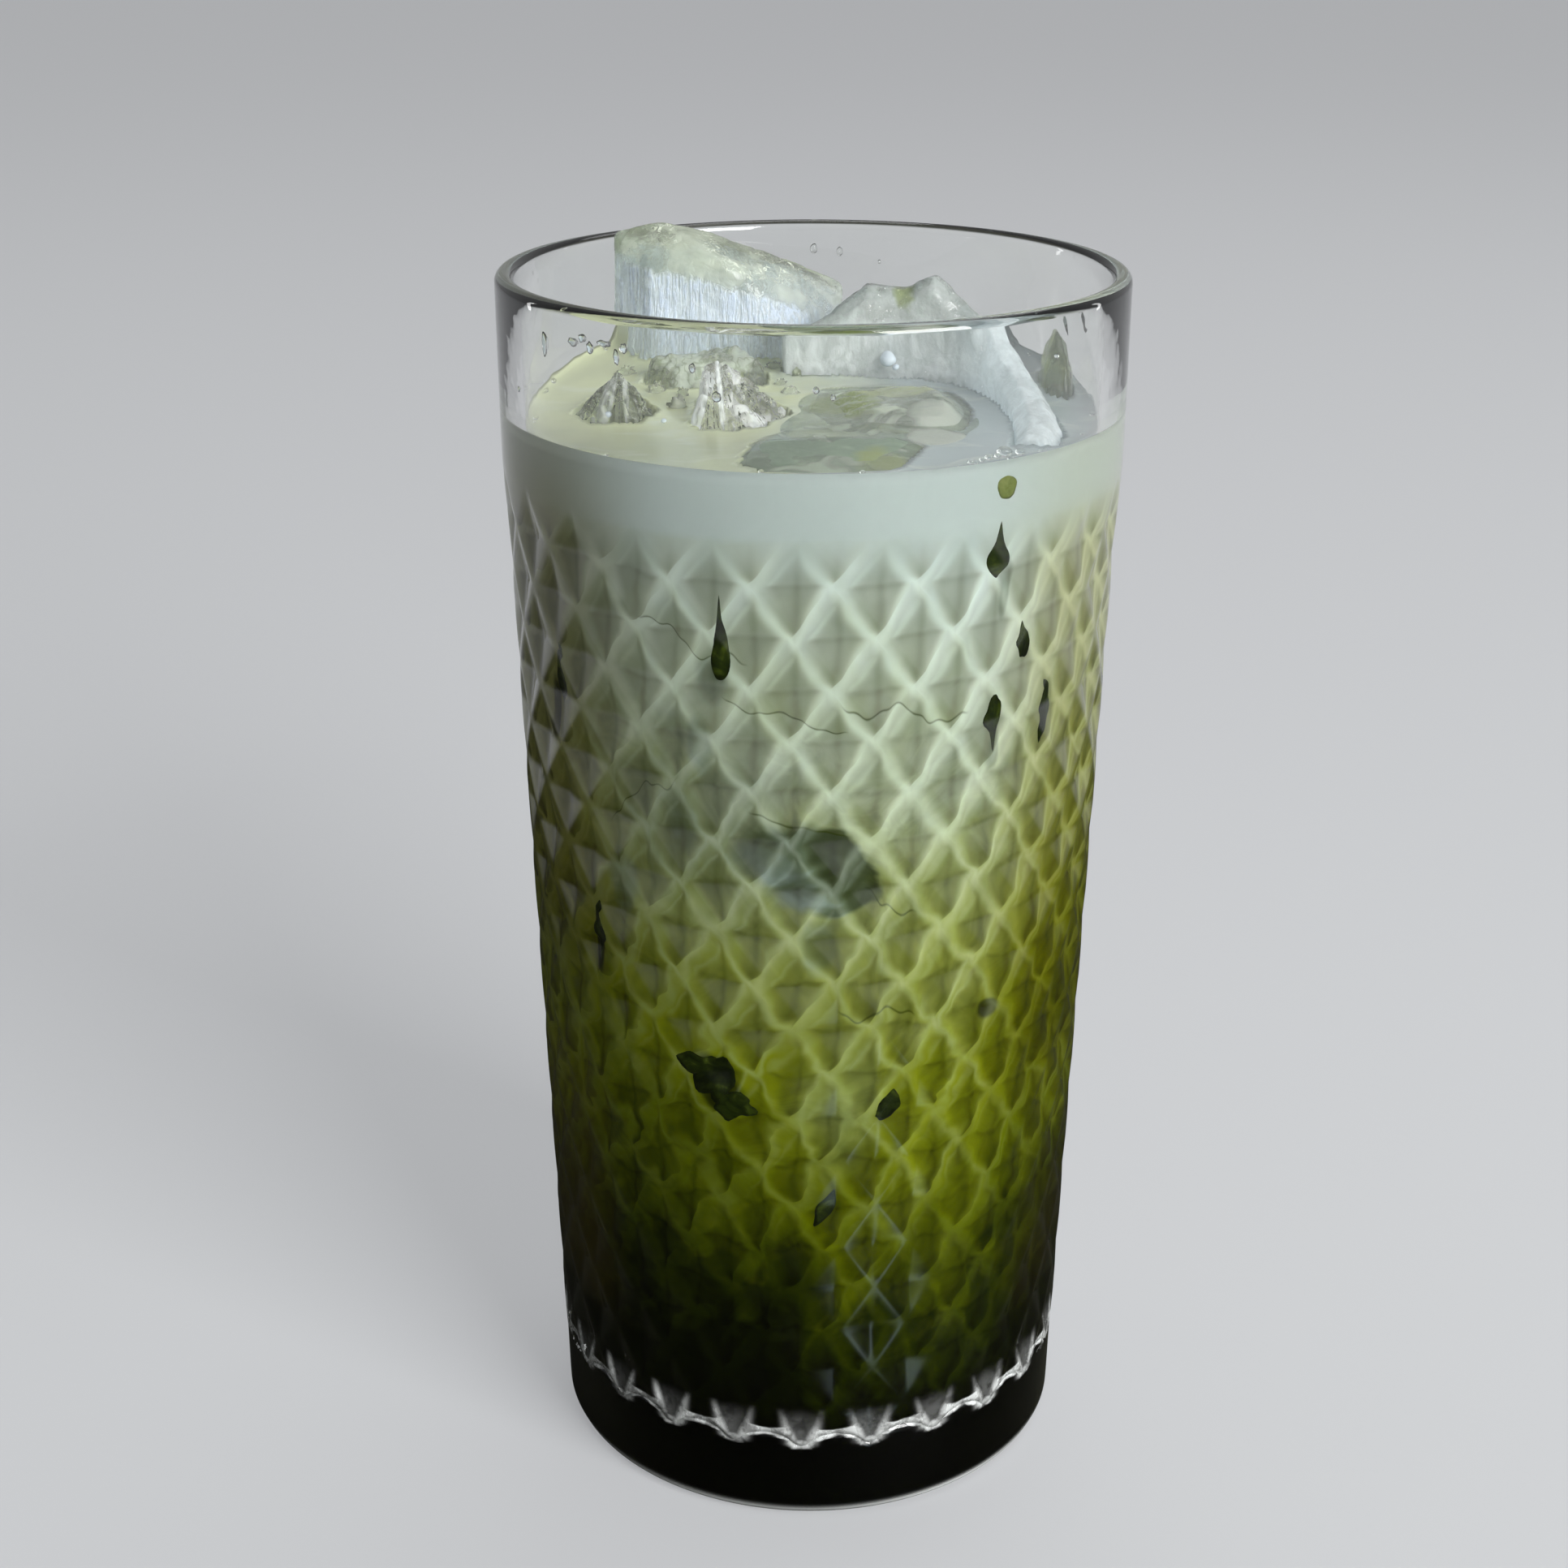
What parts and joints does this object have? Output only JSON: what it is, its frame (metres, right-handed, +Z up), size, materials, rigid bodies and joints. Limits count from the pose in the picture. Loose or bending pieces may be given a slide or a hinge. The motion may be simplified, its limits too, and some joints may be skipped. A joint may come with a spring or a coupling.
{
  "type": "iced green tea with milk in a glass",
  "caption": "Iced green tea layered under milk in a tall tumbler with a diamond relief, with ice standing out of the top.",
  "frame": {"origin": "centre of the glass's foot, on the table", "axes": "+Z up along the glass's axis, -Y towards the front, +X to the right of the front view"},
  "size_m": [0.073, 0.073, 0.1521],
  "materials": {
    "glass": "clear pressed glass",
    "tea": "dark green tea, liquid",
    "milk": "milk clouded with green tea, liquid",
    "ice": "clear to frosted ice"
  },
  "bodies": {
    "root": {"glass": "glass", "tea_layer": "tea", "milk_layer": "milk", "ice_chunk_back": "ice", "ice_chunk_low": "ice", "ice_shell_right": "ice", "ice_wedge_front": "ice", "ice_dome_front": "ice", "ice_spike_left": "ice", "ice_spike_middle": "ice", "ice_bit_right": "ice"}
  },
  "joints": []
}
